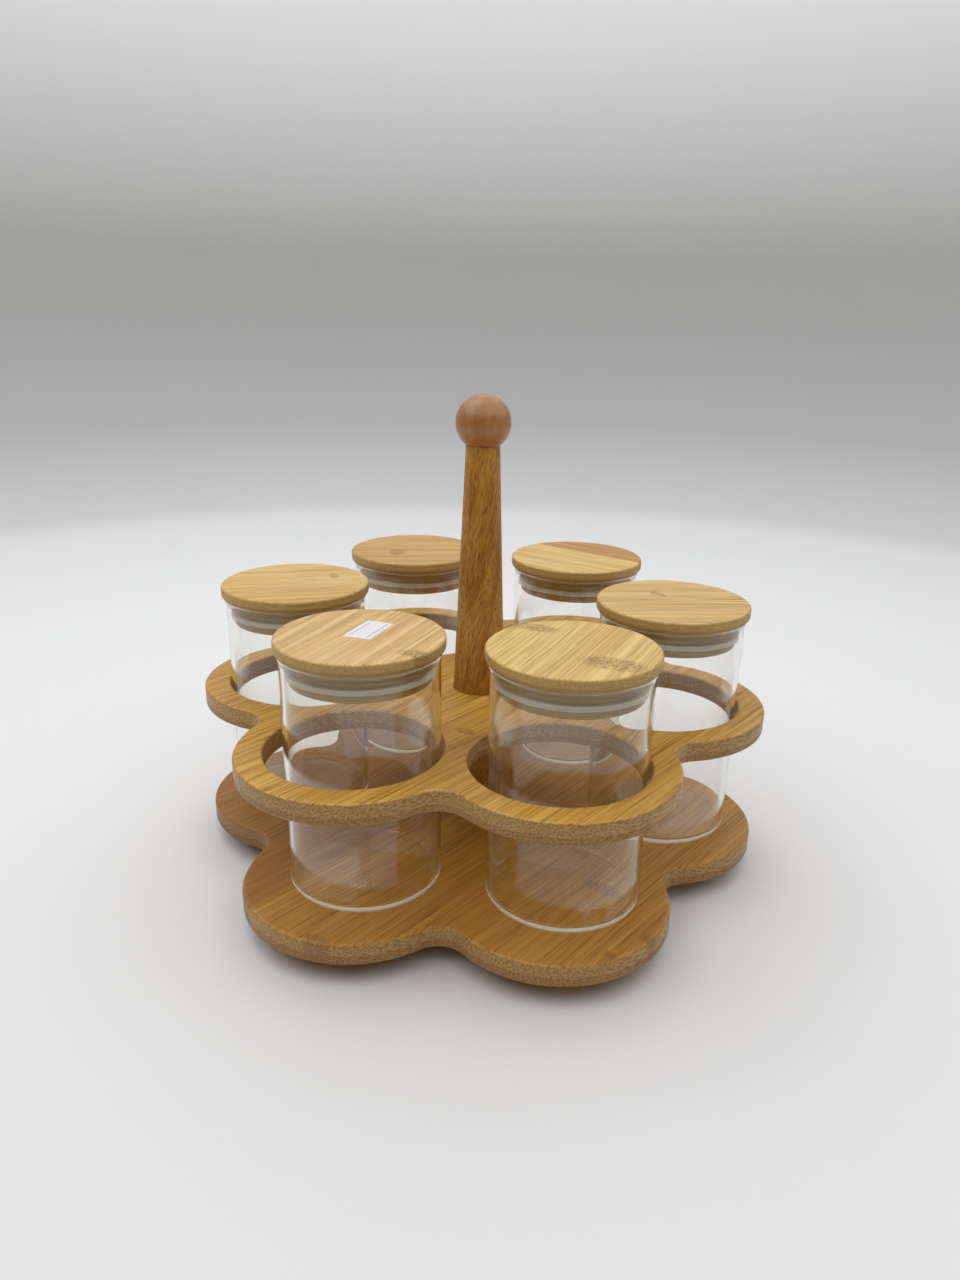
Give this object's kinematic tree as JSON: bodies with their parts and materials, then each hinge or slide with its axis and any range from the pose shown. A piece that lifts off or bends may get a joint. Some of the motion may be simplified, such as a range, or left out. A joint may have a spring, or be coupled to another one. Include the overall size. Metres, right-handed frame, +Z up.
{
  "type": "rotating spice rack",
  "caption": "Lobed wooden rack on a low turntable, with a post and ball handle, a ring plate that holds loose straight glass jars, and sealed wooden lids.",
  "frame": {"origin": "on the table, under the turntable's axis: the middle of the bottom of the bounding box", "axes": "+Z up along the post; +X from the axis to the middle of jar 1's lobe, and the jars number on anticlockwise from above"},
  "size_m": [0.2668, 0.2442, 0.2163],
  "materials": {
    "plate_bamboo": "clear lacquered bamboo board, satin",
    "lid_bamboo": "clear lacquered pale bamboo, satin",
    "post_wood": "turned open-pored hardwood, clear varnish",
    "ball_wood": "turned close-grained hardwood, clear varnish",
    "dowel_wood": "plain",
    "jar_glass": "clear polished",
    "seal_silicone": "whitish clear silicone rubber",
    "label_paper": "matt white label with thin ruled lines, no writing",
    "turntable_aluminium": "machined, satin",
    "bearing_steel": "polished",
    "cage_nylon": "natural nylon",
    "screw_steel": "zinc plated",
    "rubber_feet": "matt"
  },
  "bodies": {
    "turntable_foot": {"turntable_inner_ring": "turntable_aluminium", "rubber_feet": "rubber_feet"},
    "ball_set": {"turntable_balls": "bearing_steel", "turntable_ball_cage": "cage_nylon"},
    "rack": {"base_plate": "plate_bamboo", "ring_plate": "plate_bamboo", "centre_post": "post_wood", "handle_ball": "ball_wood", "ball_dowel": "dowel_wood", "post_screw": "screw_steel", "post_washer": "screw_steel", "turntable_outer_ring": "turntable_aluminium", "turntable_screws": "screw_steel"},
    "jar_1": {"glass_jar_1": "jar_glass"},
    "jar_1_lid": {"lid_1": "lid_bamboo", "seal_1": "seal_silicone"},
    "jar_2": {"glass_jar_2": "jar_glass"},
    "jar_2_lid": {"lid_2": "lid_bamboo", "seal_2": "seal_silicone"},
    "jar_3": {"glass_jar_3": "jar_glass"},
    "jar_3_lid": {"lid_3": "lid_bamboo", "seal_3": "seal_silicone"},
    "jar_4": {"glass_jar_4": "jar_glass"},
    "jar_4_lid": {"lid_4": "lid_bamboo", "seal_4": "seal_silicone"},
    "jar_5": {"glass_jar_5": "jar_glass"},
    "jar_5_lid": {"lid_5": "lid_bamboo", "seal_5": "seal_silicone", "price_label": "label_paper"},
    "jar_6": {"glass_jar_6": "jar_glass"},
    "jar_6_lid": {"lid_6": "lid_bamboo", "seal_6": "seal_silicone"}
  },
  "joints": [
    {"name": "rack_spin", "type": "hinge", "parent": "turntable_foot", "child": "rack", "pos_m": [0, 0, 0], "axis": [0, 0, 1], "continuous": true},
    {"name": "balls_roll", "type": "hinge", "parent": "turntable_foot", "child": "ball_set", "pos_m": [0, 0, 0], "axis": [0, 0, 1], "continuous": true},
    {"name": "jar_1_lift", "type": "slide", "parent": "rack", "child": "jar_1", "axis": [0, 0, 1], "range_m": [0, 0.07]},
    {"name": "lid_1_lift", "type": "slide", "parent": "jar_1", "child": "jar_1_lid", "axis": [0, 0, 1], "range_m": [0, 0.03]},
    {"name": "jar_2_lift", "type": "slide", "parent": "rack", "child": "jar_2", "axis": [0, 0, 1], "range_m": [0, 0.07]},
    {"name": "lid_2_lift", "type": "slide", "parent": "jar_2", "child": "jar_2_lid", "axis": [0, 0, 1], "range_m": [0, 0.03]},
    {"name": "jar_3_lift", "type": "slide", "parent": "rack", "child": "jar_3", "axis": [0, 0, 1], "range_m": [0, 0.07]},
    {"name": "lid_3_lift", "type": "slide", "parent": "jar_3", "child": "jar_3_lid", "axis": [0, 0, 1], "range_m": [0, 0.03]},
    {"name": "jar_4_lift", "type": "slide", "parent": "rack", "child": "jar_4", "axis": [0, 0, 1], "range_m": [0, 0.07]},
    {"name": "lid_4_lift", "type": "slide", "parent": "jar_4", "child": "jar_4_lid", "axis": [0, 0, 1], "range_m": [0, 0.03]},
    {"name": "jar_5_lift", "type": "slide", "parent": "rack", "child": "jar_5", "axis": [0, 0, 1], "range_m": [0, 0.07]},
    {"name": "lid_5_lift", "type": "slide", "parent": "jar_5", "child": "jar_5_lid", "axis": [0, 0, 1], "range_m": [0, 0.03]},
    {"name": "jar_6_lift", "type": "slide", "parent": "rack", "child": "jar_6", "axis": [0, 0, 1], "range_m": [0, 0.07]},
    {"name": "lid_6_lift", "type": "slide", "parent": "jar_6", "child": "jar_6_lid", "axis": [0, 0, 1], "range_m": [0, 0.03]}
  ],
  "couplings": [
    {"joint": "balls_roll", "follows": "rack_spin", "ratio": 0.52}
  ]
}
